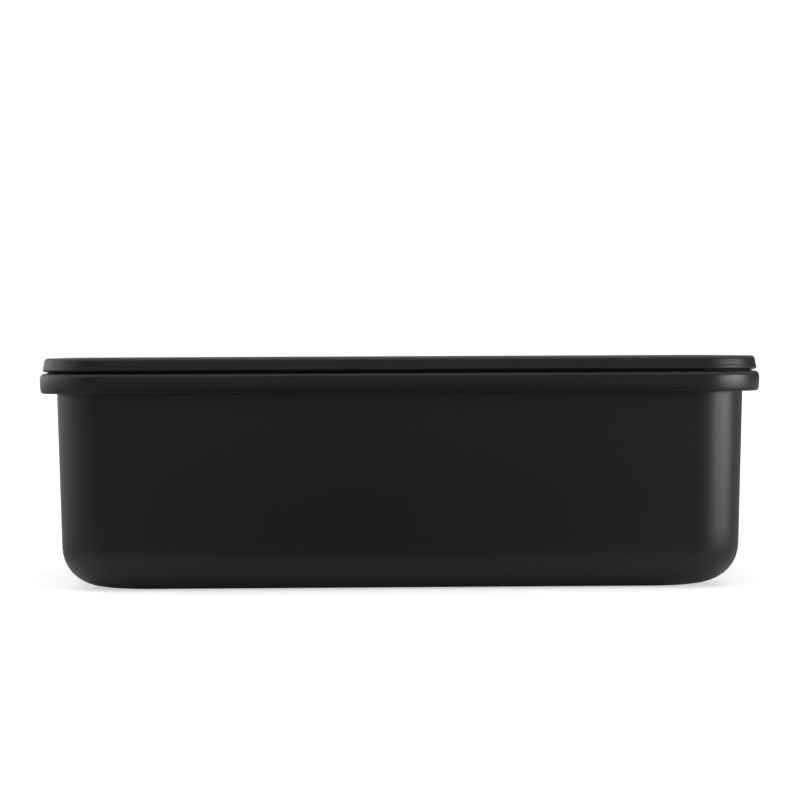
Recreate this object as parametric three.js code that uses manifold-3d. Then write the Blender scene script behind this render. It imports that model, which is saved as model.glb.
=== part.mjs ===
// A rectangular metal lunch box: a drawn steel tub with a turned-down rim, a double-skin
// press-on lid with a silicone seal and a vent, and a divider that slides along inside.
// Millimetres, +Z up, +X along the long side, -Y to the front. The origin is on the
// surface that the tub stands on, under its middle.

import * as THREE from "three";
import { mergeVertices } from "three/addons/utils/BufferGeometryUtils.js";
import Module from "manifold-3d";

const degrees = THREE.MathUtils.degToRad;

// ---------------------------------------------------------------- driving dimensions

// Tub
const rimLength = 210; // over the rim, along X
const rimWidth = 150; // over the rim, along Y
const tubHeight = 62.8; // floor to the top of the rim
const tubSheet = 0.8;
const draft = degrees(1.6); // the walls lean out as they rise
const mouthRadius = 16; // plan radius of the outer wall's corners, at the rim
const footRadius = 12.5; // where the walls turn into the floor, outside
const footCornerRadius = 16; // in plan, where the bend at the foot meets the floor
const footRing = 9; // width of the flat ring that the tub stands on
const floorRise = 0.8; // the middle of the floor is pressed up by this
const floorRiseRun = 3;
const floorRiseBend = 1.5;
const floorCornerRadius = 8; // plan radius of the pressed-up middle
const rimOverhang = 4.8; // outer wall to the outside of the rim
const rimDrop = 5.7; // top of the rim to the lower edge of its skirt
const rimBend = 2; // outer bend of the rim, and the bend of the mouth
const skirtLean = degrees(1.5); // the skirt leans in as it drops
const hemFold = 0.15; // the skirt's edge is folded back on itself round this radius
const hemHeight = 2.4;

// Lid
const lidGap = 0.7; // rim to the underside of the lid's edge
const lidHeight = 3.7; // that underside to the top of the lid
const lidInset = 0.5; // the lid's edge stands this far inside the rim's
const coverSheet = 0.6;
const coverTopBend = 1.2;
const coverLowBend = 1;
const coverLean = degrees(11); // the lid's edge leans out as it drops
const coverLip = 3.4; // the edge is folded in under the lid by this
const stackDepth = 0.6; // recess in the lid's top, for the foot of another box
const stackClearance = 1;
const stackRun = 1.2;
const stackBend = 0.9;
const linerSheet = 0.5;
const linerEdgeInset = 1.4; // edge of the cover to the edge of the liner
const plugDepth = 8; // rim to the bottom of the liner's ring
const plugRoom = 3.2; // tub wall to the liner's ring, which the seal fills
const plugWidth = 5; // the ring's own width
const plugBend = 1.5;
const linerEdgeBend = 0.8;

// Seal
const collarWall = 1.3; // sleeve round the liner's ring
const webSetback = 2; // edge of the rim to the edge of the seal's web
const finCount = 2;
const finPitch = 2;
const finThickness = 0.6;
const finDroop = 0.6; // the fins slant down as they reach out

// Vent, in the middle of the lid
const dishDepth = 3.5;
const dishRadius = 10.5;
const dishFloorRadius = 8;
const eyeletSheet = 0.4;
const eyeletBore = 3; // radius
const eyeletFlange = 5.2; // radius
const knobRadius = 5.4;
const knobRecess = 0.3; // its top lies this far below the lid's panel
const knobEdge = 1.2; // height of the knob's rim
const knobCrown = 0.5;
const knobWaist = 0.6; // how far the finger groove goes in
const stemRadius = 2.2;
const ventFootRadius = 4;
const ventFootHeight = 1.8;
const ventTravel = 2.5;

// Divider
const dividerX = 30; // where it stands
const dividerSheet = 0.8;
const dividerHeadroom = 1.2; // its top to the bottom of the liner's ring
const foldHeight = 4; // its top edge is folded over
const foldThickness = 2.2;
const gripThickness = 3.4; // silicone edge, along X
const gripWrap = 3.2; // it covers this much of the plate
const gripProud = 1.5; // and stands this far past the plate's edge

// Clearances
const seatGap = 0.1; // between faces that lie on each other
const runningGap = 0.3; // between pieces that slide past each other

// Smoothness
const leastRadius = 0.5; // of a corner in plan
const cornerSteps = 3; // a corner in plan has twice as many sides
const chordError = 0.08; // of the bends
const roundSteps = 32;

// ---------------------------------------------------------------- sizes that follow

// An offset is measured out from the tub's outer wall at the rim, on all four sides.
const mouthHalfLength = rimLength / 2 - rimOverhang;
const mouthHalfWidth = rimWidth / 2 - rimOverhang;
const wallOffset = (z) => (z - tubHeight) * Math.tan(draft);
const insideOffset = (z) => wallOffset(z) - tubSheet / Math.cos(draft);
const floorEdge = wallOffset(0);
const footEdge = floorEdge - footRadius * Math.tan(Math.PI / 4 - draft / 2);
const riseEdge = footEdge - footRing;

const lidUnderside = tubHeight + lidGap;
const lidTop = lidUnderside + lidHeight;
const lidEdge = rimOverhang - lidInset;
const panelTop = lidTop - stackDepth;
const dishFloor = lidTop - dishDepth;
const linerSeat = lidUnderside + coverSheet + seatGap;
const linerPanel = dishFloor - coverSheet - seatGap - linerSheet; // its underside
const plugBottom = tubHeight - plugDepth;
const plugOutside = insideOffset(plugBottom) - plugRoom;
const plugInside = plugOutside - plugWidth;
const barrelRadius = eyeletBore + eyeletSheet;

const dividerTop = plugBottom - dividerHeadroom;
const dividerFoot = floorRise + tubSheet + runningGap;

// ---------------------------------------------------------------- joins and cuts

const wasm = await Module();
wasm.setup();

function toSolid(geometry) {
  const bare = geometry.clone();
  bare.deleteAttribute("normal");
  bare.deleteAttribute("uv");
  const merged = mergeVertices(bare);
  return new wasm.Manifold(
    new wasm.Mesh({
      numProp: 3,
      vertProperties: merged.getAttribute("position").array,
      triVerts: new Uint32Array(merged.index.array),
    }),
  );
}

function toGeometry(solid) {
  const { vertProperties, triVerts } = solid.getMesh();
  const geometry = new THREE.BufferGeometry();
  geometry.setAttribute("position", new THREE.BufferAttribute(vertProperties, 3));
  geometry.setIndex(new THREE.BufferAttribute(triVerts, 1));
  return geometry;
}

// ---------------------------------------------------------------- bent sheet

// One face of a bent sheet, as points with the normal on their left. A corner is
// [offset, height, bend radius, plan radius]; the bend is an arc that touches both runs.
function bentFace(corners, thickness) {
  const at = corners.map(([offset, height]) => new THREE.Vector2(offset, height));
  const face = [];
  const push = (point, along, radius) => {
    face.push({ point, normal: new THREE.Vector2(-along.y, along.x), radius });
  };
  corners.forEach(([, , bend, radius], i) => {
    const arriving = i > 0 && at[i].clone().sub(at[i - 1]).normalize();
    const leaving = i < at.length - 1 && at[i + 1].clone().sub(at[i]).normalize();
    if (!arriving || !leaving) {
      push(at[i], arriving || leaving, radius);
      return;
    }
    const turn = Math.atan2(arriving.cross(leaving), arriving.dot(leaving));
    const start = at[i].clone().addScaledVector(arriving, -bend * Math.tan(Math.abs(turn) / 2));
    const side = new THREE.Vector2(-arriving.y, arriving.x);
    const centre = start.clone().addScaledVector(side, Math.sign(turn) * bend);
    const sideAngle = 2 * Math.acos(1 - chordError / (bend + thickness));
    const steps = Math.ceil(Math.abs(turn) / sideAngle);
    for (let k = 0; k <= steps; k += 1) {
      const angle = (turn * k) / steps;
      const along = arriving.clone().rotateAround(new THREE.Vector2(), angle);
      push(start.clone().rotateAround(centre, angle), along, radius);
    }
  });
  return face;
}

// The whole section of a bent sheet. The corners are those of its lower face, from the
// middle of the box outwards, and the metal is on their left. With above set, they are
// those of its upper face, and the metal is on their right.
function sheetSection(corners, thickness, above = false) {
  const face = bentFace(corners, thickness);
  const place = ({ point, normal, radius }, depth) => {
    const moved = point.clone().addScaledVector(normal, depth);
    return { offset: moved.x, height: moved.y, radius };
  };
  const given = face.map((spot) => place(spot, 0));
  const other = face.map((spot) => place(spot, above ? -thickness : thickness));
  return above ? [...other, ...given.reverse()] : [...given, ...other.reverse()];
}

// ---------------------------------------------------------------- swept round the box

function outlineAt({ offset, radius = Math.max(mouthRadius + offset, leastRadius) }) {
  const x = mouthHalfLength + offset - radius;
  const y = mouthHalfWidth + offset - radius;
  const quarter = Math.PI / 2;
  const path = new THREE.Path();
  path.absarc(x, y, radius, 0, quarter);
  path.absarc(-x, y, radius, quarter, 2 * quarter);
  path.absarc(-x, -y, radius, 2 * quarter, 3 * quarter);
  path.absarc(x, -y, radius, 3 * quarter, 4 * quarter);
  return path.getPoints(cornerSteps);
}

// Sweeps a section of { offset, height, radius } round the box, with the material on the
// left of the section's line. With panel set, the section starts and ends on the two
// faces of a flat panel, which are filled in; without it, the section is a closed loop.
function sweepRound(section, panel) {
  const loops = section.map(outlineAt);
  const count = loops[0].length;
  const positions = loops.flatMap((loop, i) => loop.flatMap((p) => [p.x, p.y, section[i].height]));
  const index = [];
  const bands = panel ? loops.length - 1 : loops.length;
  for (let band = 0; band < bands; band += 1) {
    const here = band * count;
    const there = ((band + 1) % loops.length) * count;
    for (let i = 0; i < count; i += 1) {
      const next = (i + 1) % count;
      index.push(here + i, here + next, there + next);
      index.push(here + i, there + next, there + i);
    }
  }
  if (panel) {
    const last = (loops.length - 1) * count;
    const faces = THREE.ShapeUtils.triangulateShape(loops[0], []);
    faces.forEach(([a, b, c]) => index.push(c, b, a));
    faces.forEach(([a, b, c]) => index.push(last + a, last + b, last + c));
  }
  const geometry = new THREE.BufferGeometry();
  geometry.setAttribute("position", new THREE.Float32BufferAttribute(positions, 3));
  geometry.setIndex(index);
  return geometry;
}

// ---------------------------------------------------------------- turned round +Z

function turned(profile) {
  const points = profile.map(([radius, height]) => new THREE.Vector2(radius, height));
  return new THREE.LatheGeometry(points, roundSteps).rotateX(Math.PI / 2);
}

function drill(radius, bottom, top) {
  return toSolid(
    turned([
      [0, bottom],
      [radius, bottom],
      [radius, top],
      [0, top],
    ]),
  );
}

// ---------------------------------------------------------------- tub

function makeTub() {
  const ledge = tubHeight - tubSheet; // underside of the rim
  const bend = rimBend - tubSheet;
  const skirtInside = rimOverhang - tubSheet;
  const hemBottom = tubHeight - rimDrop + tubSheet;
  const skirtFoot = skirtInside - (ledge - hemBottom) * Math.tan(skirtLean);
  const hemInside = skirtFoot - 2 * hemFold;
  const bent = sheetSection(
    [
      [riseEdge - 3 * floorRiseRun, floorRise, 0, floorCornerRadius],
      [riseEdge - floorRiseRun, floorRise, floorRiseBend, floorCornerRadius],
      [riseEdge, 0, floorRiseBend, floorCornerRadius],
      [floorEdge, 0, footRadius],
      [wallOffset(ledge), ledge, bend],
      [skirtInside, ledge, bend],
      [skirtFoot, hemBottom - hemFold, hemFold],
      [hemInside, hemBottom - hemFold, hemFold],
      [hemInside, hemBottom + hemHeight],
    ],
    tubSheet,
  );

  // Down through the bend at the foot, the corners get rounder in plan.
  const section = bent.map((spot) => {
    if (spot.radius !== undefined || spot.height > footRadius) return spot;
    const share = 1 - spot.height / footRadius;
    const radius = THREE.MathUtils.lerp(mouthRadius + spot.offset, footCornerRadius, share);
    return { ...spot, radius };
  });
  return sweepRound(section, true);
}

// ---------------------------------------------------------------- lid

function makeCover() {
  const footCurve = Math.sqrt(footRadius ** 2 - (footRadius - stackDepth) ** 2);
  const recessEdge = footEdge + footCurve + stackClearance;
  const section = sheetSection(
    [
      [recessEdge - 2 * stackRun, panelTop],
      [recessEdge - stackRun, panelTop, stackBend],
      [recessEdge, lidTop, stackBend],
      [lidEdge - lidHeight * Math.tan(coverLean), lidTop, coverTopBend],
      [lidEdge, lidUnderside, coverLowBend],
      [lidEdge - coverLip, lidUnderside],
    ],
    coverSheet,
    true,
  );

  // The dish for the vent: its underside is added below the panel, then the bowl is cut.
  const slope = (dishRadius - dishFloorRadius) / (panelTop - dishFloor);
  const sideways = coverSheet * Math.hypot(1, slope);
  const bowlRadius = (z) => dishFloorRadius + (z - dishFloor) * slope;
  const below = dishFloor - coverSheet;
  const within = panelTop - coverSheet / 2;
  const above = panelTop + coverSheet;
  const boss = turned([
    [0, below],
    [bowlRadius(below) + sideways, below],
    [bowlRadius(within) + sideways, within],
    [0, within],
  ]);
  const bowl = turned([
    [0, dishFloor],
    [dishFloorRadius, dishFloor],
    [bowlRadius(above), above],
    [0, above],
  ]);
  return toGeometry(
    toSolid(sweepRound(section, true))
      .add(toSolid(boss))
      .subtract(toSolid(bowl))
      .subtract(drill(barrelRadius + seatGap, below - coverSheet, above)),
  );
}

function makeLiner() {
  const section = sheetSection(
    [
      [plugInside - 2 * plugBend, linerPanel],
      [plugInside, linerPanel, plugBend],
      [plugInside, plugBottom, plugBend],
      [plugOutside, plugBottom, plugBend],
      [plugOutside, linerSeat, linerEdgeBend],
      [lidEdge - linerEdgeInset, linerSeat],
    ],
    linerSheet,
  );
  const hole = drill(barrelRadius + seatGap, linerPanel - linerSheet, linerPanel + 2 * linerSheet);
  return toGeometry(toSolid(sweepRound(section, true)).subtract(hole));
}

function makeSeal() {
  const webTop = lidUnderside - seatGap;
  const webBottom = tubHeight + seatGap;
  const webEdge = rimOverhang - webSetback;
  const inside = plugOutside + seatGap;
  const outside = inside + collarWall;
  const bottom = plugBottom + plugBend + seatGap;
  const topFin = tubHeight - rimBend - finThickness;
  const fins = [];
  for (let k = finCount - 1; k >= 0; k -= 1) {
    const root = topFin - k * finPitch;
    const tip = root - finDroop;
    const reach = insideOffset(tip - finThickness) - runningGap;
    fins.push([outside, root - finThickness]);
    fins.push([reach, tip - finThickness]);
    fins.push([reach, tip]);
    fins.push([outside, root]);
  }
  const section = [
    [inside, webTop],
    [inside, bottom],
    [outside, bottom],
    ...fins,
    [outside, webBottom],
    [webEdge, webBottom],
    [webEdge, webTop],
  ];
  return sweepRound(
    section.map(([offset, height]) => ({ offset, height })),
    false,
  );
}

// ---------------------------------------------------------------- vent

// Heights in the vent are measured from the floor of the dish.
const linerUnder = linerPanel - dishFloor;

function makeEyelet() {
  const top = seatGap + eyeletSheet;
  const bottom = linerUnder - seatGap - eyeletSheet;
  return turned([
    [eyeletBore, bottom],
    [eyeletFlange, bottom],
    [eyeletFlange, bottom + eyeletSheet],
    [barrelRadius, bottom + eyeletSheet],
    [barrelRadius, seatGap],
    [eyeletFlange, seatGap],
    [eyeletFlange, top],
    [eyeletBore, top],
    [eyeletBore, bottom],
  ]);
}

function makeVentPlug() {
  const seat = 2 * seatGap + eyeletSheet;
  const knobTop = dishDepth - stackDepth - knobRecess;
  const footTop = linerUnder - seatGap - eyeletSheet - ventTravel - seatGap;
  const footBottom = footTop - ventFootHeight;
  return turned([
    [0, footBottom],
    [stemRadius, footBottom],
    [ventFootRadius, footTop - knobCrown],
    [ventFootRadius, footTop],
    [stemRadius, footTop],
    [stemRadius, seat],
    [knobRadius, seat],
    [knobRadius - knobWaist, (seat + knobTop - knobEdge) / 2],
    [knobRadius, knobTop - knobEdge],
    [knobRadius, knobTop - knobCrown],
    [knobRadius - knobCrown, knobTop],
    [0, knobTop],
  ]);
}

// ---------------------------------------------------------------- divider

// The tub's inside as seen along X, drawn in by inset from its walls and cut off level at
// foot and top, as points from the top of the +Y wall down and round to the other.
function tubOutline(inset, foot, top) {
  const wall = (z) => mouthHalfWidth + insideOffset(z) - inset / Math.cos(draft);
  const corners = [
    [wall(top), top],
    [wall(foot), foot, footRadius - tubSheet - inset],
    [0, foot],
  ];
  const half = bentFace(corners, 0).map(({ point }) => point);
  const mirrored = half.slice(0, -1).map(({ x, y }) => new THREE.Vector2(-x, y));
  return [...half, ...mirrored.reverse()];
}

// A slab across the tub, with its outline in Y and Z and its thickness along X.
function slab(outline, thickness) {
  const options = { depth: thickness, bevelEnabled: false, steps: 1 };
  const axes = [new THREE.Vector3(0, 1, 0), new THREE.Vector3(0, 0, 1), new THREE.Vector3(1, 0, 0)];
  return new THREE.ExtrudeGeometry(new THREE.Shape(outline), options)
    .translate(0, 0, -thickness / 2)
    .applyMatrix4(new THREE.Matrix4().makeBasis(...axes));
}

function makeDividerPlate() {
  const inset = runningGap + gripProud;
  const plate = slab(tubOutline(inset, dividerFoot + gripProud, dividerTop), dividerSheet);
  const side = inset + gripWrap + runningGap;
  const halfFold = mouthHalfWidth + insideOffset(dividerTop - foldHeight) - side;
  const fold = new THREE.BoxGeometry(foldThickness, 2 * halfFold, foldHeight);
  fold.translate(0, 0, dividerTop - foldHeight / 2);
  return toGeometry(toSolid(plate).add(toSolid(fold)));
}

function makeDividerGrip() {
  const outer = tubOutline(runningGap, dividerFoot, dividerTop);
  const wrap = gripProud + gripWrap;
  const inner = tubOutline(runningGap + wrap, dividerFoot + wrap, dividerTop);
  const band = slab([...outer, ...inner.reverse()], gripThickness);
  const plateInset = runningGap + gripProud - seatGap;
  const plateFoot = dividerFoot + gripProud - seatGap;
  const slot = slab(
    tubOutline(plateInset, plateFoot, dividerTop + gripProud),
    dividerSheet + 2 * seatGap,
  );
  return toGeometry(toSolid(band).subtract(toSolid(slot)));
}

// ---------------------------------------------------------------- assembly

const blackCoat = new THREE.MeshStandardMaterial({
  color: 0x242424,
  roughness: 0.48,
  metalness: 0.1,
});
const steel = new THREE.MeshStandardMaterial({
  color: 0xb9bbbd,
  roughness: 0.35,
  metalness: 1,
});
const silicone = new THREE.MeshStandardMaterial({
  color: 0x1b1b1c,
  roughness: 0.7,
  metalness: 0,
});

function piece(name, geometry, material) {
  const mesh = new THREE.Mesh(geometry, material);
  mesh.name = name;
  return mesh;
}

const vent = new THREE.Group();
vent.position.z = dishFloor;
vent.add(piece("vent_eyelet", makeEyelet(), steel));
vent.add(piece("vent_plug", makeVentPlug(), silicone));

const lid = new THREE.Group();
lid.add(piece("lid_cover", makeCover(), blackCoat));
lid.add(piece("lid_liner", makeLiner(), steel));
lid.add(piece("lid_seal", makeSeal(), silicone));
lid.add(vent);

const divider = new THREE.Group();
divider.position.x = dividerX;
divider.add(piece("divider_plate", makeDividerPlate(), steel));
divider.add(piece("divider_grip", makeDividerGrip(), silicone));

const lunchBox = new THREE.Group();
lunchBox.add(piece("tub", makeTub(), blackCoat));
lunchBox.add(lid);
lunchBox.add(divider);

export default lunchBox;
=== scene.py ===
"""A black steel lunch box with a press-on lid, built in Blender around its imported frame."""

import math

import bmesh
import bpy
import numpy as np
from mathutils import Euler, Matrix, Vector


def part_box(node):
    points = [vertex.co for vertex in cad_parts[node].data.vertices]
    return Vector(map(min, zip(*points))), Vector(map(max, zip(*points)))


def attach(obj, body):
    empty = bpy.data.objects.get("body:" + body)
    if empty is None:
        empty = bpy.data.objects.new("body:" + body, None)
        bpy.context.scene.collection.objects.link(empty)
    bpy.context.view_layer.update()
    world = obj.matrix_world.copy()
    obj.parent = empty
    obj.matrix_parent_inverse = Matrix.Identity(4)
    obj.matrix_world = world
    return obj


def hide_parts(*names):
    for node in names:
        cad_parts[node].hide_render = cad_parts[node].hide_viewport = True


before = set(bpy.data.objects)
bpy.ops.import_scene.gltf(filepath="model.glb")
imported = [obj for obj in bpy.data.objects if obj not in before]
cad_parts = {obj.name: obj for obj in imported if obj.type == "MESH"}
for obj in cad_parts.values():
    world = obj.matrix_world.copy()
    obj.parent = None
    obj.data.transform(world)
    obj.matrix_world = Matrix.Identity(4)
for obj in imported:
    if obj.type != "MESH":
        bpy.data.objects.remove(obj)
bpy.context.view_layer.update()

MM = 0.001

# ------------------------------------------------------------------ sizes, in millimetres

TUB_SHEET = 0.8
DRAFT = math.radians(1.6)  # the walls lean out as they rise
MOUTH_RADIUS = 16.0  # plan radius of the outer wall's corners, at the rim
FOOT_RADIUS = 12.5  # where the walls turn into the floor, outside
FOOT_CORNER_RADIUS = 16.0  # in plan, where the bend at the foot meets the floor
FOOT_RING = 9.0  # width of the flat ring that the tub stands on
FLOOR_RISE = 0.8  # the middle of the floor is pressed up by this
FLOOR_RISE_RUN = 3.0
FLOOR_RISE_BEND = 1.5
FLOOR_CORNER_RADIUS = 8.0
RIM_OVERHANG = 4.8  # outer wall to the outside of the rim
RIM_DROP = 5.7  # top of the rim to the lower edge of its skirt
RIM_BEND = 1.4  # outer bend of the rim, a little tighter than the CAD's
SKIRT_LEAN = math.radians(1.5)  # the skirt leans in as it drops
SKIRT_BARREL = 0.12  # the skirt bulges out by this between its bends
SKIRT_BOW = 12.0  # the radius that it bulges with
HEM_FOLD = 0.15  # the skirt's edge is folded back on itself round this radius
HEM_HEIGHT = 2.4  # and reaches this far up inside the skirt
COAT_EDGE_IN = 0.45  # the coat ends on the bend of the mouth, this far out from the wall
COAT_EDGE_DOWN = 0.3  # and at least this far below the rim
HUB_RADIUS = 2.0  # of the small face that closes the middle of the floor

LID_INSET = 0.5  # the lid's edge stands this far inside the rim's, in the CAD
COVER_SHEET = 0.6
COVER_TOP_BEND = 1.2
COVER_LOW_BEND = 0.65
COVER_LEAN = math.radians(9)  # the lid's edge leans out as it drops
COVER_FLARE = 0.38  # and spreads by this over its last part
COVER_FLARE_HEIGHT = 1.5
COVER_FLARE_BEND = 2.0
COVER_LIP = 3.4  # the edge is folded in under the lid by this
LID_PRESSED_DOWN = 0.25  # the underside is this much lower than the CAD's, the seal thinner
STACK_DEPTH = 0.6  # recess in the lid's top, for the foot of another box
STACK_CLEARANCE = 1.0
STACK_RUN = 1.2
STACK_BEND = 0.9
LINER_SHEET = 0.5
LINER_EDGE_INSET = 1.4  # edge of the cover to the edge of the liner
PLUG_ROOM = 3.2  # tub wall to the liner's ring, which the seal fills
PLUG_WIDTH = 5.0  # the ring's own width
PLUG_BEND = 1.5
LINER_EDGE_BEND = 0.8

COLLAR_WALL = 1.3  # sleeve round the liner's ring
WEB_SETBACK = 2.0  # edge of the rim to the edge of the seal's web
FIN_COUNT = 2
FIN_PITCH = 2.0
FIN_THICKNESS = 0.6
FIN_DROOP = 0.6  # the fins slant down as they reach out
FIN_ROUND = 0.25
WEB_ROUND = 0.2
COLLAR_FOOT_ROUND_IN = 0.3
COLLAR_FOOT_ROUND_OUT = 0.4
WEB_ROOT_ROUND = 0.5

DISH_DEPTH = 3.5  # of the dish that the vent lies in
DISH_RADIUS = 10.5
DISH_FLOOR_RADIUS = 8.0
DISH_BEND = 1.0
EYELET_SHEET = 0.4
EYELET_BORE = 3.0  # radius
EYELET_MOUTH_ROUND = 0.3
EYELET_LIP_ROUND = 0.18
EYELET_ROOT_ROUND = 0.05
VENT_FOOT_RADIUS = 4.0
VENT_FOOT_HEIGHT = 1.8
VENT_FOOT_ROUND = 0.4
VENT_FOOT_EDGE_ROUND = 0.15
STEM_RADIUS = 2.2
STEM_ROOT_ROUND = 0.3
KNOB_CROWN = 0.5
KNOB_EDGE = 1.2  # height of the knob's rim
KNOB_EDGE_ROUND = 0.3
KNOB_SEAT_ROUND = 0.2
KNOB_WAIST = 0.6  # how far the finger groove goes in
KNOB_WAIST_BEND = 0.35
KNOB_HOLLOW = 0.35  # its top is hollowed by this
KNOB_HOLLOW_IN = 1.4  # from this far inside the knob's edge
KNOB_HOLLOW_RUN = 0.8
KNOB_HOLLOW_BEND = 0.5

DIVIDER_SHEET = 0.8
PLATE_IN_FOLD = 1.0  # the sheet stops this far below the top of the fold
FOLD_HEIGHT = 4.0  # the divider's top edge is folded over
FOLD_FOOT_ROUND = 0.35
FOLD_CROWN = 0.95  # bend of the fold's top, as a share of half its thickness
GRIP_WRAP = 3.2  # the silicone edge covers this much of the plate
GRIP_PROUD = 1.5  # and stands this far past the plate's edge
GRIP_ROUND = 0.8
GRIP_LIP_ROUND = 0.5
GRIP_SLOT_ROUND = 0.2
GRIP_SLOT_FLOOR_ROUND = 0.1

SEAT_GAP = 0.1  # between faces that lie on each other
RUNNING_GAP = 0.3  # between pieces that slide past each other

# Smoothness of the surfaces
CORNER_STEPS = 20  # round each corner in plan
LONG_STEPS = 26  # along each long side
SHORT_STEPS = 18  # along each short side
BEND_STEP = math.radians(9)
RUN_STEP = 5.0  # along a straight run of a section
PANEL_STEPS = 14  # from the middle of a panel to its edge
ROUND_STEPS = 96
SHARP_ANGLE = math.radians(40)
MERGE_METRES = 1e-7  # points nearer than this are one


def in_mm(node):
    """The lowest and highest corner of a node's box."""
    low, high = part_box(node)
    return low / MM, high / MM


# Places that the frame gives
TUB_LOW, TUB_HIGH = in_mm("tub")
GRIP_LOW, GRIP_HIGH = in_mm("divider_grip")
EYELET_LOW, EYELET_HIGH = in_mm("vent_eyelet")
PLUG_LOW, PLUG_HIGH = in_mm("vent_plug")
COVER_HIGH = in_mm("lid_cover")[1]
LINER_LOW = in_mm("lid_liner")[0]
SEAL_HIGH = in_mm("lid_seal")[1]
PLATE_HIGH = in_mm("divider_plate")[1]

TUB_HEIGHT = TUB_HIGH.z
HALF_LENGTH = TUB_HIGH.x - RIM_OVERHANG
HALF_WIDTH = TUB_HIGH.y - RIM_OVERHANG
LID_TOP = COVER_HIGH.z
LID_EDGE = RIM_OVERHANG - LID_INSET
LID_UNDERSIDE = SEAL_HIGH.z + SEAT_GAP - LID_PRESSED_DOWN
PANEL_TOP = LID_TOP - STACK_DEPTH
DISH_FLOOR = LID_TOP - DISH_DEPTH


def wall_offset(z):
    return (z - TUB_HEIGHT) * math.tan(DRAFT)


def inside_offset(z):
    return wall_offset(z) - TUB_SHEET / math.cos(DRAFT)


FLOOR_EDGE = wall_offset(0)
FOOT_EDGE = FLOOR_EDGE - FOOT_RADIUS * math.tan(math.pi / 4 - DRAFT / 2)
RISE_EDGE = FOOT_EDGE - FOOT_RING
PLUG_BOTTOM = LINER_LOW.z
PLUG_OUTSIDE = inside_offset(PLUG_BOTTOM) - PLUG_ROOM
PLUG_INSIDE = PLUG_OUTSIDE - PLUG_WIDTH


# ------------------------------------------------------------------ bent sheet

def turned_by(vector, angle):
    c, s = math.cos(angle), math.sin(angle)
    return np.array([c * vector[0] - s * vector[1], s * vector[0] + c * vector[1]])


def unit(vector):
    return vector / np.linalg.norm(vector)


def bent_face(corners):
    """One face of a bent sheet, as (point, normal on the left, plan radius). A corner is
    (offset, height, bend radius, plan radius), and the bend is an arc."""
    rows = [tuple(c) + (0.0, None)[len(c) - 2:] for c in corners]
    at = [np.array(row[:2], float) for row in rows]
    face = []
    for i, (_, _, bend, radius) in enumerate(rows):
        arriving = unit(at[i] - at[i - 1]) if i else None
        leaving = unit(at[i + 1] - at[i]) if i + 1 < len(at) else None
        if arriving is None or leaving is None:
            along = leaving if arriving is None else arriving
            face.append((at[i], turned_by(along, math.pi / 2), radius))
            continue
        turn = math.atan2(
            arriving[0] * leaving[1] - arriving[1] * leaving[0], float(arriving @ leaving)
        )
        start = at[i] - arriving * bend * math.tan(abs(turn) / 2)
        centre = start + turned_by(arriving, math.pi / 2) * math.copysign(bend, turn)
        steps = max(2, math.ceil(abs(turn) / BEND_STEP))
        for k in range(steps + 1):
            angle = turn * k / steps
            along = turned_by(arriving, angle)
            point = centre + turned_by(start - centre, angle)
            face.append((point, turned_by(along, math.pi / 2), radius))
    return face


def with_runs(face):
    """The same face with its long straight runs divided."""
    spread = [face[0]]
    for (p, n, r), (q, m, s) in zip(face, face[1:]):
        count = max(1, math.ceil(np.linalg.norm(q - p) / RUN_STEP))
        for k in range(1, count):
            share = k / count
            spread.append((p + (q - p) * share, m, s if r is None else r))
        spread.append((q, m, s))
    return spread


def sheet_faces(corners, thickness, above=False):
    """Both faces of a sheet, as lists of (offset, height, plan radius), lower face first."""
    face = with_runs(bent_face(corners))
    depth = -thickness if above else thickness
    given = [(p[0], p[1], r) for p, _, r in face]
    other = [(p[0] + n[0] * depth, p[1] + n[1] * depth, r) for p, n, r in face]
    return (other, given) if above else (given, other)


# ------------------------------------------------------------------ loops round the box

def foot_corner(offset, height, radius):
    """The plan radius of the tub's corners grows rounder through the bend at the foot."""
    if radius is not None or height > FOOT_RADIUS:
        return radius
    share = 1 - height / FOOT_RADIUS
    straight = MOUTH_RADIUS + offset
    return straight + (FOOT_CORNER_RADIUS - straight) * share


def box_loop(offset, height, radius=None):
    """Points round a rounded rectangle, anticlockwise from above."""
    radius = MOUTH_RADIUS + offset if radius is None else radius
    x, y = HALF_LENGTH + offset - radius, HALF_WIDTH + offset - radius
    centres = ((x, y), (-x, y), (-x, -y), (x, -y))
    points = []
    for k, centre in enumerate(centres):
        for step in range(CORNER_STEPS):
            angle = (k + step / CORNER_STEPS) * math.pi / 2
            points.append(
                (centre[0] + radius * math.cos(angle), centre[1] + radius * math.sin(angle))
            )
        angle = (k + 1) * math.pi / 2
        start = np.array(centre) + radius * np.array([math.cos(angle), math.sin(angle)])
        following = centres[(k + 1) % 4]
        end = np.array(following) + radius * np.array([math.cos(angle), math.sin(angle)])
        steps = SHORT_STEPS if k % 2 else LONG_STEPS
        for step in range(steps):
            points.append(tuple(start + (end - start) * step / steps))
    flat = np.array(points)
    return np.column_stack([flat, np.full(len(flat), height)])


def ring_loop(radius, height):
    """A circle round the middle, point for point with box_loop."""
    guide = box_loop(0, 0)
    angles = np.arctan2(guide[:, 1], guide[:, 0])
    return np.column_stack(
        [radius * np.cos(angles), radius * np.sin(angles), np.full(len(angles), height)]
    )


def between(first, last, steps):
    """The loops from first to last, without either."""
    return [first + (last - first) * k / steps for k in range(1, steps)]


# ------------------------------------------------------------------ meshes and pieces

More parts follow.
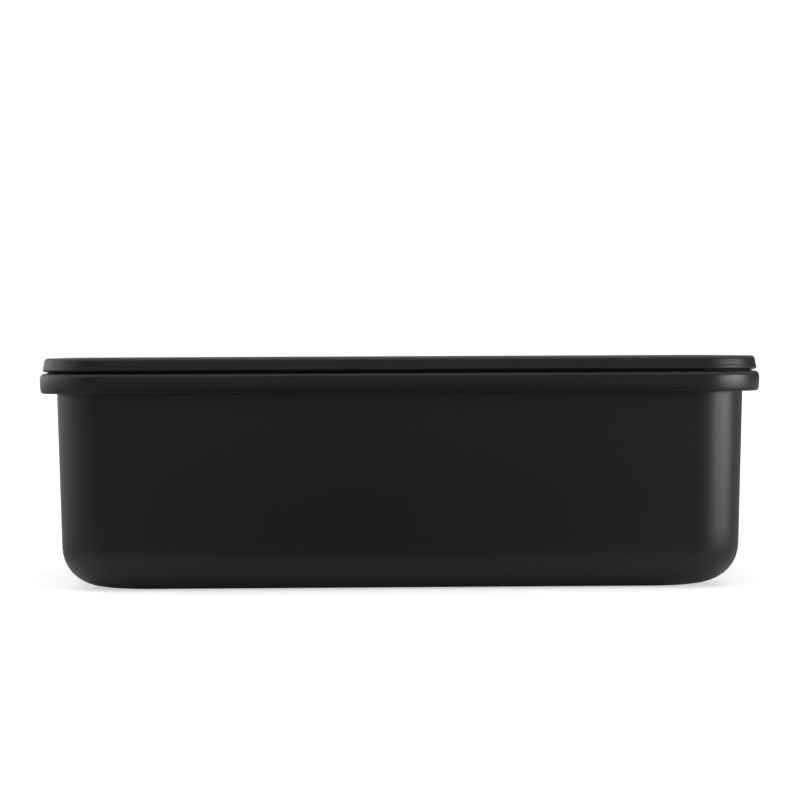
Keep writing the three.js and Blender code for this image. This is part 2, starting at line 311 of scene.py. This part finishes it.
def mesh_piece(name, vertices, faces, slots=None):
    """A smooth piece from points in millimetres, with one material index for each face."""
    mesh = bpy.data.meshes.new(name)
    mesh.from_pydata([tuple(v) for v in np.asarray(vertices) * MM], [], faces)
    if slots is not None:
        mesh.polygons.foreach_set("material_index", slots)
    work = bmesh.new()
    work.from_mesh(mesh)
    bmesh.ops.remove_doubles(work, verts=work.verts, dist=MERGE_METRES)
    bmesh.ops.recalc_face_normals(work, faces=work.faces)
    work.to_mesh(mesh)
    work.free()
    mesh.polygons.foreach_set("use_smooth", [True] * len(mesh.polygons))
    mesh.set_sharp_from_angle(angle=SHARP_ANGLE)
    mesh.update()
    piece = bpy.data.objects.new(name, mesh)
    bpy.context.scene.collection.objects.link(piece)
    return piece


def skin(name, loops, wrap=False, cap_start=False, cap_end=False, slot_of_band=None):
    """A piece whose surface runs through the loops."""
    count = len(loops[0])
    faces, slots = [], []
    bands = len(loops) if wrap else len(loops) - 1
    for band in range(bands):
        here, there = band * count, (band + 1) % len(loops) * count
        for i in range(count):
            j = (i + 1) % count
            faces.append((here + i, here + j, there + j, there + i))
            slots.append(slot_of_band(band) if slot_of_band else 0)
    first_slot, last_slot = slots[0], slots[-1]
    if cap_start:
        faces.append(tuple(reversed(range(count))))
        slots.append(first_slot)
    if cap_end:
        last = (len(loops) - 1) * count
        faces.append(tuple(range(last, last + count)))
        slots.append(last_slot)
    return mesh_piece(name, np.concatenate(loops), faces, slots)


def lathe(name, profile):
    """A piece turned round +Z from a closed profile of (radius, height) in millimetres."""
    angles = np.arange(ROUND_STEPS) * 2 * math.pi / ROUND_STEPS
    on_axis = profile[0][0] == 0
    loops = [
        np.column_stack([r * np.cos(angles), r * np.sin(angles), np.full(ROUND_STEPS, z)])
        for r, z in profile
        if r > 0
    ]
    return skin(name, loops, wrap=not on_axis, cap_start=on_axis, cap_end=on_axis)


def rounded(corners):
    """A closed or open line through corners of (x, y, bend radius), with its bends round."""
    return [tuple(p) for p, _, _ in bent_face(corners)]


def closed_rounded(corners):
    """A closed line whose every corner is bent; the first one is given again at the end."""
    x, y, bend = corners[0]
    following = np.array(corners[1][:2], float)
    first = np.array([x, y], float)
    middle = (first + following) / 2
    line = [(middle[0], middle[1]), *corners[1:], (x, y, bend), (middle[0], middle[1])]
    return rounded(line)[:-1]


def finish_piece(piece, body, node, slot, *materials):
    for material in materials:
        piece.data.materials.append(material)
    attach(piece, body)
    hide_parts(node)
    return piece


# ------------------------------------------------------------------ materials

class Graph:
    """A material's nodes, made one call at a time."""

    def __init__(self, name):
        self.material = bpy.data.materials.new(name)
        self.material.use_nodes = True
        self.tree = self.material.node_tree
        self.shader = self.tree.nodes["Principled BSDF"]
        self.place = self.node("ShaderNodeTexCoord").outputs["Object"]

    def node(self, kind, **settings):
        made = self.tree.nodes.new(kind)
        for key, value in settings.items():
            setattr(made, key, value)
        return made

    def wire(self, source, target):
        self.tree.links.new(source, target)

    def stretched(self, scale):
        mapping = self.node("ShaderNodeMapping")
        mapping.inputs["Scale"].default_value = scale
        self.wire(self.place, mapping.inputs["Vector"])
        return mapping.outputs["Vector"]

    def noise(self, size_mm, detail=2.0, roughness=0.5, stretch=None):
        """Noise of about 0 to 1, in grains of the given size."""
        made = self.node("ShaderNodeTexNoise")
        made.inputs["Scale"].default_value = 1.0 / (size_mm * MM)
        made.inputs["Detail"].default_value = detail
        made.inputs["Roughness"].default_value = roughness
        self.wire(self.stretched(stretch) if stretch else self.place, made.inputs["Vector"])
        return made.outputs["Fac"]

    def spread(self, value, low, high, source=(0.3, 0.7)):
        """The value spread over low to high; noise lies mostly between 0.3 and 0.7."""
        made = self.node("ShaderNodeMapRange")
        made.inputs["From Min"].default_value = source[0]
        made.inputs["From Max"].default_value = source[1]
        made.inputs["To Min"].default_value = low
        made.inputs["To Max"].default_value = high
        self.wire(value, made.inputs["Value"])
        return made.outputs["Result"]

    def sum(self, first, second, operation="ADD"):
        """The two added, or put through another operation. Numbers are given as floats."""
        made = self.node("ShaderNodeMath", operation=operation)
        for socket, value in zip(made.inputs, (first, second)):
            if isinstance(value, float):
                socket.default_value = value
            else:
                self.wire(value, socket)
        return made.outputs["Value"]

    def shade(self, factor, dark, light):
        """A colour between two. Sockets 6, 7 and 2 are the Mix node's colour ones."""
        made = self.node("ShaderNodeMix", data_type="RGBA")
        self.wire(factor, made.inputs["Factor"])
        for socket, colour in ((made.inputs[6], dark), (made.inputs[7], light)):
            if isinstance(colour, tuple):
                socket.default_value = (*colour, 1)
            else:
                self.wire(colour, socket)
        return made.outputs[2]

    def colour(self, source):
        self.wire(source, self.shader.inputs["Base Color"])

    def roughness(self, source):
        self.wire(source, self.shader.inputs["Roughness"])

    def bump(self, height, strength, depth_mm):
        made = self.node("ShaderNodeBump")
        made.inputs["Strength"].default_value = strength
        made.inputs["Distance"].default_value = depth_mm * MM
        self.wire(height, made.inputs["Height"])
        self.wire(made.outputs["Normal"], self.shader.inputs["Normal"])

    def set(self, **values):
        for key, value in values.items():
            self.shader.inputs[key.replace("_", " ")].default_value = value


def grey(value):
    return (value, value, value)


def black_coat():
    """Satin black powder coat: orange peel, a fine grain and edges rubbed a little smoother."""
    g = Graph("black_coat")
    patches = g.noise(55, detail=3)
    peel = g.noise(2.2, detail=2)
    grain = g.noise(0.45, detail=3, roughness=0.6)
    pointed = g.node("ShaderNodeNewGeometry").outputs["Pointiness"]
    edge = g.spread(pointed, 0.0, 1.0, source=(0.5, 0.62))
    tone = g.sum(g.spread(patches, 0.0, 0.6), g.spread(grain, 0.0, 0.4))
    g.colour(g.shade(tone, (0.0062, 0.0062, 0.0063), grey(0.0080)))
    rough = g.sum(g.spread(patches, 0.34, 0.39), g.spread(grain, -0.02, 0.03))
    g.roughness(g.sum(rough, g.sum(edge, 0.06, "MULTIPLY"), "SUBTRACT"))
    g.bump(g.sum(g.spread(peel, 0.0, 0.7), g.spread(grain, 0.0, 0.3)), 0.35, 0.02)
    g.set(Metallic=0.0, Specular_IOR_Level=0.5)
    return g.material


def bare_steel():
    """Satin stainless sheet, with the fine lines of its finish running along the box."""
    g = Graph("bare_steel")
    lines = g.noise(0.35, detail=3, roughness=0.65, stretch=(0.02, 1, 1))
    streaks = g.noise(4, detail=2, stretch=(0.06, 1, 1))
    clouds = g.noise(28, detail=3)
    tone = g.sum(g.spread(clouds, 0.0, 0.5), g.spread(streaks, 0.0, 0.5))
    g.colour(g.shade(tone, (0.50, 0.50, 0.505), (0.60, 0.598, 0.59)))
    g.roughness(g.sum(g.spread(clouds, 0.28, 0.35), g.spread(lines, -0.03, 0.05)))
    g.bump(lines, 0.2, 0.01)
    g.set(Metallic=1.0)
    return g.material


def silicone():
    """Matt black silicone, slightly clouded, with the fine grain of its mould."""
    g = Graph("silicone")
    clouds = g.noise(9, detail=4, roughness=0.6)
    grain = g.noise(0.25, detail=2)
    g.colour(g.shade(g.spread(clouds, 0.0, 1.0), grey(0.010), grey(0.016)))
    g.roughness(g.sum(g.spread(clouds, 0.52, 0.62), g.spread(grain, -0.03, 0.03)))
    g.bump(grain, 0.3, 0.015)
    g.set(Specular_IOR_Level=0.35)
    return g.material


COAT, STEEL, SILICONE = black_coat(), bare_steel(), silicone()


# ------------------------------------------------------------------ tub

def make_tub():
    ledge = TUB_HEIGHT - TUB_SHEET
    bend = RIM_BEND - TUB_SHEET
    skirt_inside = RIM_OVERHANG - TUB_SHEET
    hem_bottom = TUB_HEIGHT - RIM_DROP + TUB_SHEET
    skirt_foot = skirt_inside - (ledge - hem_bottom) * math.tan(SKIRT_LEAN)
    hem_inside = skirt_foot - 2 * HEM_FOLD
    middle = (ledge - bend + hem_bottom) / 2
    corners = [
        (RISE_EDGE - 3 * FLOOR_RISE_RUN, FLOOR_RISE, 0, FLOOR_CORNER_RADIUS),
        (RISE_EDGE - FLOOR_RISE_RUN, FLOOR_RISE, FLOOR_RISE_BEND, FLOOR_CORNER_RADIUS),
        (RISE_EDGE, 0, FLOOR_RISE_BEND, FLOOR_CORNER_RADIUS),
        (FLOOR_EDGE, 0, FOOT_RADIUS, None),
        (wall_offset(ledge), ledge, bend, None),
        (skirt_inside - SKIRT_BARREL, ledge, bend, None),
        (skirt_inside, middle, SKIRT_BOW, None),
        (skirt_foot - SKIRT_BARREL, hem_bottom - HEM_FOLD, HEM_FOLD, None),
        (hem_inside - SKIRT_BARREL, hem_bottom - HEM_FOLD, HEM_FOLD, None),
        (hem_inside - SKIRT_BARREL, hem_bottom + HEM_HEIGHT, 0, None),
    ]
    outer, inner = sheet_faces(corners, TUB_SHEET)
    under = ring_loop(HUB_RADIUS, FLOOR_RISE)
    over = ring_loop(HUB_RADIUS, FLOOR_RISE + TUB_SHEET)
    out_loops = [box_loop(*spot[:2], foot_corner(*spot)) for spot in outer]
    in_loops = [box_loop(*spot[:2], foot_corner(*spot)) for spot in reversed(inner)]
    loops = [
        under,
        *between(under, out_loops[0], PANEL_STEPS),
        *out_loops,
        *in_loops,
        *between(in_loops[-1], over, PANEL_STEPS),
        over,
    ]
    # The coat ends just inside the mouth, on the bend.
    half = HALF_LENGTH + inside_offset(TUB_HEIGHT - RIM_BEND)
    first_inner = PANEL_STEPS + len(out_loops)

    def slot(band):
        inside = band > first_inner and loops[band + 1][0][0] < half + COAT_EDGE_IN
        below = loops[band][0][2] < TUB_HEIGHT - COAT_EDGE_DOWN
        return 1 if inside and below else 0

    tub = skin("tub_shell", loops, cap_start=True, cap_end=True, slot_of_band=slot)
    return finish_piece(tub, "tub", "tub", "black_coat", COAT, STEEL)


# ------------------------------------------------------------------ lid

def make_cover():
    foot_curve = math.sqrt(FOOT_RADIUS**2 - (FOOT_RADIUS - STACK_DEPTH) ** 2)
    recess_edge = FOOT_EDGE + foot_curve + STACK_CLEARANCE
    edge = COVER_HIGH.x - HALF_LENGTH
    flare = LID_UNDERSIDE + COVER_FLARE_HEIGHT
    neck = edge - COVER_FLARE
    edge_run = (LID_TOP - flare) * math.tan(COVER_LEAN)
    corners = [
        (recess_edge - 2 * STACK_RUN, PANEL_TOP),
        (recess_edge - STACK_RUN, PANEL_TOP, STACK_BEND, None),
        (recess_edge, LID_TOP, STACK_BEND, None),
        (neck - edge_run, LID_TOP, COVER_TOP_BEND, None),
        (neck, flare, COVER_FLARE_BEND, None),
        (edge, LID_UNDERSIDE, COVER_LOW_BEND, None),
        (edge - COVER_LIP, LID_UNDERSIDE),
    ]
    lower, upper = sheet_faces(corners, COVER_SHEET, above=True)
    hole = EYELET_BORE + EYELET_SHEET + SEAT_GAP
    dish = [
        (hole, DISH_FLOOR, 0, None),
        (DISH_FLOOR_RADIUS, DISH_FLOOR, DISH_BEND, None),
        (DISH_RADIUS, PANEL_TOP, DISH_BEND, None),
        (DISH_RADIUS + 3 * DISH_BEND, PANEL_TOP, 0, None),
    ]
    dish_lower, dish_upper = sheet_faces(dish, COVER_SHEET, above=True)
    low_rings = [ring_loop(r, z) for r, z, _ in dish_lower]
    top_rings = [ring_loop(r, z) for r, z, _ in reversed(dish_upper)]
    low_loops = [box_loop(*spot) for spot in lower]
    top_loops = [box_loop(*spot) for spot in reversed(upper)]
    loops = [
        *low_rings,
        *between(low_rings[-1], low_loops[0], PANEL_STEPS),
        *low_loops,
        *top_loops,
        *between(top_loops[-1], top_rings[0], PANEL_STEPS),
        *top_rings,
    ]
    return finish_piece(
        skin("lid_cover_skin", loops, wrap=True), "lid", "lid_cover", "black_coat", COAT
    )


def make_liner():
    panel = DISH_FLOOR - COVER_SHEET - SEAT_GAP - LINER_SHEET
    seat = LID_UNDERSIDE + COVER_SHEET + SEAT_GAP
    corners = [
        (PLUG_INSIDE - 2 * PLUG_BEND, panel),
        (PLUG_INSIDE, panel, PLUG_BEND, None),
        (PLUG_INSIDE, PLUG_BOTTOM, PLUG_BEND, None),
        (PLUG_OUTSIDE, PLUG_BOTTOM, PLUG_BEND, None),
        (PLUG_OUTSIDE, seat, LINER_EDGE_BEND, None),
        (LID_EDGE - LINER_EDGE_INSET, seat),
    ]
    lower, upper = sheet_faces(corners, LINER_SHEET)
    hole = EYELET_BORE + EYELET_SHEET + SEAT_GAP
    low_ring, top_ring = ring_loop(hole, panel), ring_loop(hole, panel + LINER_SHEET)
    low_loops = [box_loop(*spot) for spot in lower]
    top_loops = [box_loop(*spot) for spot in reversed(upper)]
    loops = [
        low_ring,
        *between(low_ring, low_loops[0], PANEL_STEPS),
        *low_loops,
        *top_loops,
        *between(top_loops[-1], top_ring, PANEL_STEPS),
        top_ring,
    ]
    return finish_piece(
        skin("lid_liner_pan", loops, wrap=True), "lid", "lid_liner", "bare_steel", STEEL
    )


def make_seal():
    web_bottom = TUB_HEIGHT + SEAT_GAP
    web_top = LID_UNDERSIDE - SEAT_GAP
    web_edge = RIM_OVERHANG - WEB_SETBACK
    inside = PLUG_OUTSIDE + SEAT_GAP
    outside = inside + COLLAR_WALL
    bottom = PLUG_BOTTOM + PLUG_BEND + SEAT_GAP
    top_fin = TUB_HEIGHT - RIM_BEND - FIN_THICKNESS
    line = [
        (inside, web_top, WEB_ROUND),
        (inside, bottom, COLLAR_FOOT_ROUND_IN),
        (outside, bottom, COLLAR_FOOT_ROUND_OUT),
    ]
    for k in reversed(range(FIN_COUNT)):
        root = top_fin - k * FIN_PITCH
        tip = root - FIN_DROOP
        reach = inside_offset(tip - FIN_THICKNESS) - RUNNING_GAP
        line.append((outside, root - FIN_THICKNESS, FIN_ROUND))
        line.append((reach, tip - FIN_THICKNESS, FIN_ROUND))
        line.append((reach, tip, FIN_ROUND))
        line.append((outside, root, FIN_ROUND))
    line.append((outside, web_bottom, WEB_ROOT_ROUND))
    line.append((web_edge, web_bottom, WEB_ROUND))
    line.append((web_edge, web_top, WEB_ROUND))
    loops = [box_loop(x, y) for x, y in closed_rounded(line)]
    return finish_piece(
        skin("lid_seal_ring", loops, wrap=True), "lid", "lid_seal", "silicone", SILICONE
    )


# ------------------------------------------------------------------ vent

def make_eyelet():
    low, high, reach = EYELET_LOW.z, EYELET_HIGH.z, EYELET_HIGH.x
    barrel = EYELET_BORE + EYELET_SHEET
    profile = closed_rounded([
        (EYELET_BORE, low, EYELET_MOUTH_ROUND),
        (reach, low, EYELET_LIP_ROUND),
        (reach, low + EYELET_SHEET, EYELET_LIP_ROUND),
        (barrel, low + EYELET_SHEET, EYELET_ROOT_ROUND),
        (barrel, high - EYELET_SHEET, EYELET_ROOT_ROUND),
        (reach, high - EYELET_SHEET, EYELET_LIP_ROUND),
        (reach, high, EYELET_LIP_ROUND),
        (EYELET_BORE, high, EYELET_MOUTH_ROUND),
    ])
    return finish_piece(
        lathe("vent_rivet", profile), "lid", "vent_eyelet", "bare_steel", STEEL
    )


def make_vent_plug():
    low, high, knob = PLUG_LOW.z, PLUG_HIGH.z, PLUG_HIGH.x
    seat = EYELET_HIGH.z + SEAT_GAP
    foot_top = low + VENT_FOOT_HEIGHT
    groove = (seat + high - KNOB_EDGE) / 2
    hollow_edge = knob - KNOB_HOLLOW_IN
    hollow_floor = high - KNOB_HOLLOW
    profile = rounded([
        (0, low),
        (STEM_RADIUS, low, VENT_FOOT_ROUND, None),
        (VENT_FOOT_RADIUS, foot_top - KNOB_CROWN, VENT_FOOT_ROUND, None),
        (VENT_FOOT_RADIUS, foot_top, VENT_FOOT_EDGE_ROUND, None),
        (STEM_RADIUS, foot_top, STEM_ROOT_ROUND, None),
        (STEM_RADIUS, seat, KNOB_SEAT_ROUND, None),
        (knob, seat, KNOB_SEAT_ROUND, None),
        (knob - KNOB_WAIST, groove, KNOB_WAIST_BEND, None),
        (knob, high - KNOB_EDGE, KNOB_EDGE_ROUND, None),
        (knob, high, KNOB_CROWN, None),
        (hollow_edge, high, KNOB_HOLLOW_BEND, None),
        (hollow_edge - KNOB_HOLLOW_RUN, hollow_floor, KNOB_HOLLOW_BEND, None),
        (0, hollow_floor),
    ])
    return finish_piece(
        lathe("vent_button", profile), "vent_plug", "vent_plug", "silicone", SILICONE
    )


# ------------------------------------------------------------------ divider

DIVIDER_X = (GRIP_LOW.x + GRIP_HIGH.x) / 2
DIVIDER_TOP = GRIP_HIGH.z
DIVIDER_FOOT = GRIP_LOW.z


def across(inset, foot, top):
    """The tub's inside as seen along X, drawn in by inset: points from one top to the other."""
    def wall(z):
        return HALF_WIDTH + inside_offset(z) - inset / math.cos(DRAFT)

    corners = [
        (wall(top), top, 0, None),
        (wall(foot), foot, FOOT_RADIUS - TUB_SHEET - inset, None),
        (0, foot, 0, None),
    ]
    half = [spot[0] for spot in with_runs(bent_face(corners))]
    return np.array([*half, *[(-y, z) for y, z in reversed(half[:-1])]])


def band_piece(name, section):
    """A band round the divider's edge. The section is a closed line of (depth in from the
    band's outer face, x from the divider's middle)."""
    inset = RUNNING_GAP
    paths = [across(inset + depth, DIVIDER_FOOT + depth, DIVIDER_TOP) for depth, _ in section]
    count = len(paths[0])
    vertices, faces = [], []
    for path, (_, x) in zip(paths, section):
        vertices.extend((DIVIDER_X + x, y, z) for y, z in path)
    for j in range(len(section)):
        here, there = j * count, (j + 1) % len(section) * count
        faces.extend((here + i, here + i + 1, there + i + 1, there + i) for i in range(count - 1))
    starts = [j * count for j in range(len(section))]
    faces.append(tuple(starts))
    faces.append(tuple(s + count - 1 for s in reversed(starts)))
    return mesh_piece(name, vertices, faces)


def make_grip():
    half = GRIP_HIGH.x - DIVIDER_X
    wrap = GRIP_PROUD + GRIP_WRAP
    slot = DIVIDER_SHEET / 2 + SEAT_GAP
    floor = GRIP_PROUD - SEAT_GAP
    section = closed_rounded([
        (0, -half, GRIP_ROUND),
        (0, half, GRIP_ROUND),
        (wrap, half, GRIP_LIP_ROUND),
        (wrap, slot, GRIP_SLOT_ROUND),
        (floor, slot, GRIP_SLOT_FLOOR_ROUND),
        (floor, -slot, GRIP_SLOT_FLOOR_ROUND),
        (wrap, -slot, GRIP_SLOT_ROUND),
        (wrap, -half, GRIP_LIP_ROUND),
    ])
    return finish_piece(
        band_piece("divider_edging", section), "divider", "divider_grip", "silicone", SILICONE
    )


def make_plate():
    """The sheet of the divider and its folded top edge, as one piece."""
    inset = RUNNING_GAP + GRIP_PROUD
    foot = DIVIDER_FOOT + GRIP_PROUD
    half_sheet = DIVIDER_SHEET / 2
    outline = across(inset, foot, DIVIDER_TOP - PLATE_IN_FOLD)
    count = len(outline)
    vertices = [(DIVIDER_X + x, y, z) for x in (-half_sheet, half_sheet) for y, z in outline]
    faces = [tuple(range(count)), tuple(reversed(range(count, 2 * count)))]
    faces += [(i, i + 1, count + i + 1, count + i) for i in range(count - 1)]
    faces.append((count - 1, 0, count, 2 * count - 1))

    # The fold: the sheet's edge turned over on both sides into a round-topped bead.
    half = PLATE_HIGH.x - DIVIDER_X
    top = PLATE_HIGH.z
    side = inset + GRIP_WRAP + RUNNING_GAP
    end = HALF_WIDTH + inside_offset(DIVIDER_TOP - FOLD_HEIGHT) - side
    section = closed_rounded([
        (-half, top - FOLD_HEIGHT, FOLD_FOOT_ROUND),
        (half, top - FOLD_HEIGHT, FOLD_FOOT_ROUND),
        (half, top, half * FOLD_CROWN),
        (-half, top, half * FOLD_CROWN),
    ])
    stations = np.linspace(-end, end, 2 * LONG_STEPS)
    start = len(vertices)
    for y in stations:
        vertices.extend((DIVIDER_X + x, y, z) for x, z in section)
    around = len(section)
    for s in range(len(stations) - 1):
        a, b = start + s * around, start + (s + 1) * around
        for i in range(around):
            j = (i + 1) % around
            faces.append((a + i, a + j, b + j, b + i))
    faces.append(tuple(start + i for i in range(around)))
    last = start + (len(stations) - 1) * around
    faces.append(tuple(last + i for i in reversed(range(around))))
    return finish_piece(
        mesh_piece("divider_sheet", vertices, faces), "divider", "divider_plate", "bare_steel",
        STEEL,
    )


for make in (
    make_tub, make_cover, make_liner, make_seal, make_eyelet, make_vent_plug, make_plate, make_grip
):
    make()


# ------------------------------------------------------------------ floor and light

# How light the floor is in the gloss of the box: painted light and shade in its colour, which the
# eye doesn't see
FLOOR_MIDDLE = 0.49
FLOOR_NEAR = 0.52  # more than that, right beside the box: painted light
NEAR_LIGHT_REACH = 0.04  # metres from the box over which that painted light fades
FLOOR_FAR = 0.1  # more than that, far from the box
FAR_FROM, FAR_TO = 0.3, 1.2  # metres from the box
FLOOR_PAINTED_SHADE = 0.49  # less than that, in a painted shade in front of the box
SHADE_AHEAD = 0.16  # metres from the box to its middle
SHADE_DEPTH, SHADE_WIDTH = 0.20, 0.17  # its half sizes in metres
SHADE_CORE = 0.4  # the share of it that is fully dark
# How light the eye sees it: its own tone, and a glow of its own
FLOOR_SEEN = 0.88
FLOOR_GLOW = 0.56
FLOOR_HALF = 6.0  # metres, from its middle to its edge

# How bright the room is in each direction
ROOM_TOP = 0.97
ROOM_BACK = 0.12
ROOM_LEFT = 1.62
ROOM_FRONT = 0.42


def floor_painted_light_and_shade(g):
    """How light the floor is at each place, in the gloss of the box: painted light close round it
    and a painted shade in front of it.
    """
    split = g.node("ShaderNodeSeparateXYZ")
    g.wire(g.place, split.inputs["Vector"])
    aside = g.sum(g.sum(split.outputs["X"], 0.0, "ABSOLUTE"), TUB_HIGH.x * MM, "SUBTRACT")
    ahead = g.sum(g.sum(split.outputs["Y"], 0.0, "ABSOLUTE"), TUB_HIGH.y * MM, "SUBTRACT")
    apart = g.sum(aside, ahead, "MAXIMUM")
    # painted light: the floor lighter in the box's gloss right beside the box
    near_painted_light = g.spread(apart, FLOOR_NEAR, 0.0, source=(0.0, NEAR_LIGHT_REACH))
    beyond = g.spread(apart, 0.0, FLOOR_FAR, source=(FAR_FROM, FAR_TO))
    shade = g.node("ShaderNodeVectorMath", operation="DISTANCE")
    g.wire(g.stretched((SHADE_DEPTH / SHADE_WIDTH, 1, 0)), shade.inputs[0])
    shade.inputs[1].default_value = (0, -TUB_HIGH.y * MM - SHADE_AHEAD, 0)
    reach = (SHADE_CORE * SHADE_DEPTH, SHADE_DEPTH)
    # painted shade: the floor darker in the box's gloss in a patch in front of the box
    dark = g.spread(shade.outputs["Value"], FLOOR_PAINTED_SHADE, 0.0, source=reach)
    return g.sum(g.sum(g.sum(FLOOR_MIDDLE, near_painted_light), beyond), dark, "SUBTRACT")


def stage_material():
    """A plain pale floor. In its gloss the box sees painted light close round the box, a painted
    shade in front of it and grey beyond."""
    g = Graph("pale_floor")
    reflected = floor_painted_light_and_shade(g)
    tone = g.node("ShaderNodeCombineColor")
    for channel in ("Red", "Green", "Blue"):
        g.wire(reflected, tone.inputs[channel])
    seen = g.node("ShaderNodeLightPath").outputs["Is Camera Ray"]
    g.colour(g.shade(seen, tone.outputs["Color"], grey(FLOOR_SEEN)))
    g.wire(g.sum(seen, FLOOR_GLOW, "MULTIPLY"), g.shader.inputs["Emission Strength"])
    g.shader.inputs["Emission Color"].default_value = (1, 1, 1, 1)
    g.set(Roughness=0.9, Specular_IOR_Level=0.1)
    return g.material


def make_floor():
    mesh = bpy.data.meshes.new("floor")
    corners = [(x * FLOOR_HALF, y * FLOOR_HALF, 0) for x, y in ((-1, -1), (1, -1), (1, 1), (-1, 1))]
    mesh.from_pydata(corners, [], [(0, 1, 2, 3)])
    floor = bpy.data.objects.new("floor", mesh)
    floor.data.materials.append(stage_material())
    bpy.context.scene.collection.objects.link(floor)


def area_light(name, place, aim, size, power):
    data = bpy.data.lights.new(name, "AREA")
    data.shape = "RECTANGLE"
    data.size, data.size_y = size
    data.energy = power
    light = bpy.data.objects.new(name, data)
    light.location = place
    light.rotation_euler = (Vector(aim) - Vector(place)).to_track_quat("-Z", "Y").to_euler()
    bpy.context.scene.collection.objects.link(light)


def make_world():
    """A pale room: bright overhead and low on the left, dim behind the box, with a patch of
    light straight in front. The eye sees it as white."""
    world = bpy.data.worlds.new("studio")
    bpy.context.scene.world = world
    world.use_nodes = True
    tree = world.node_tree
    background = tree.nodes["Background"]
    place = tree.nodes.new("ShaderNodeTexCoord")

    def brightness(towards, start, end, amount):
        """Grows from 0 to amount as the direction turns towards the given one, between the
        two cosines."""
        turn = tree.nodes.new("ShaderNodeVectorMath")
        turn.operation = "DOT_PRODUCT"
        turn.inputs[1].default_value = towards
        ramp = tree.nodes.new("ShaderNodeMapRange")
        ramp.interpolation_type = "SMOOTHSTEP"
        ramp.inputs["From Min"].default_value = start
        ramp.inputs["From Max"].default_value = end
        ramp.inputs["To Max"].default_value = amount
        tree.links.new(place.outputs["Generated"], turn.inputs[0])
        tree.links.new(turn.outputs["Value"], ramp.inputs["Value"])
        return ramp.outputs["Result"]

    left = (-0.85, 0.31, -0.42)
    total = brightness((0, 0, 1), 0.1, 1.0, ROOM_TOP)
    sides = (
        brightness((0, 1, 0), -0.2, 0.7, ROOM_BACK),
        brightness(left, 0.2, 1.0, ROOM_LEFT),
        brightness((0, -1, 0), 0.86, 1.0, ROOM_FRONT),
    )
    for side in sides:
        add = tree.nodes.new("ShaderNodeMath")
        tree.links.new(total, add.inputs[0])
        tree.links.new(side, add.inputs[1])
        total = add.outputs["Value"]
    path = tree.nodes.new("ShaderNodeLightPath")
    seen = tree.nodes.new("ShaderNodeMix")
    tree.links.new(path.outputs["Is Camera Ray"], seen.inputs["Factor"])
    tree.links.new(total, seen.inputs["A"])
    seen.inputs["B"].default_value = 1.0
    tree.links.new(seen.outputs["Result"], background.inputs["Strength"])
    background.inputs["Color"].default_value = (1, 1, 1, 1)


make_floor()
make_world()
area_light(
    "right_box", place=(0.80, -0.30, 0.12), aim=(0, -0.03, 0.03), size=(0.60, 0.22), power=3.4
)


# ------------------------------------------------------------------ camera

EYE_DISTANCE = 0.850  # metres, from the front of the rim
EYE_HEIGHT = 0.0689
EYE_ASIDE = 0.0014
EYE_PITCH = math.radians(-0.94)
EYE_ROLL = math.radians(0.26)
EYE_TURN = math.radians(-1.6)  # round the box, towards its left end


def make_camera():
    data = bpy.data.cameras.new("camera")
    data.sensor_width = 36
    data.lens = 134.2
    data.clip_end = 50
    camera = bpy.data.objects.new("camera", data)
    place = Vector((EYE_ASIDE, TUB_LOW.y * MM - EYE_DISTANCE, EYE_HEIGHT))
    place.rotate(Euler((0, 0, EYE_TURN)))
    camera.location = place
    camera.rotation_euler = (math.pi / 2 + EYE_PITCH, EYE_ROLL, EYE_TURN)
    bpy.context.scene.collection.objects.link(camera)
    bpy.context.scene.camera = camera


make_camera()
bpy.context.scene.view_settings.view_transform = "Standard"
bpy.context.scene.view_settings.look = "None"
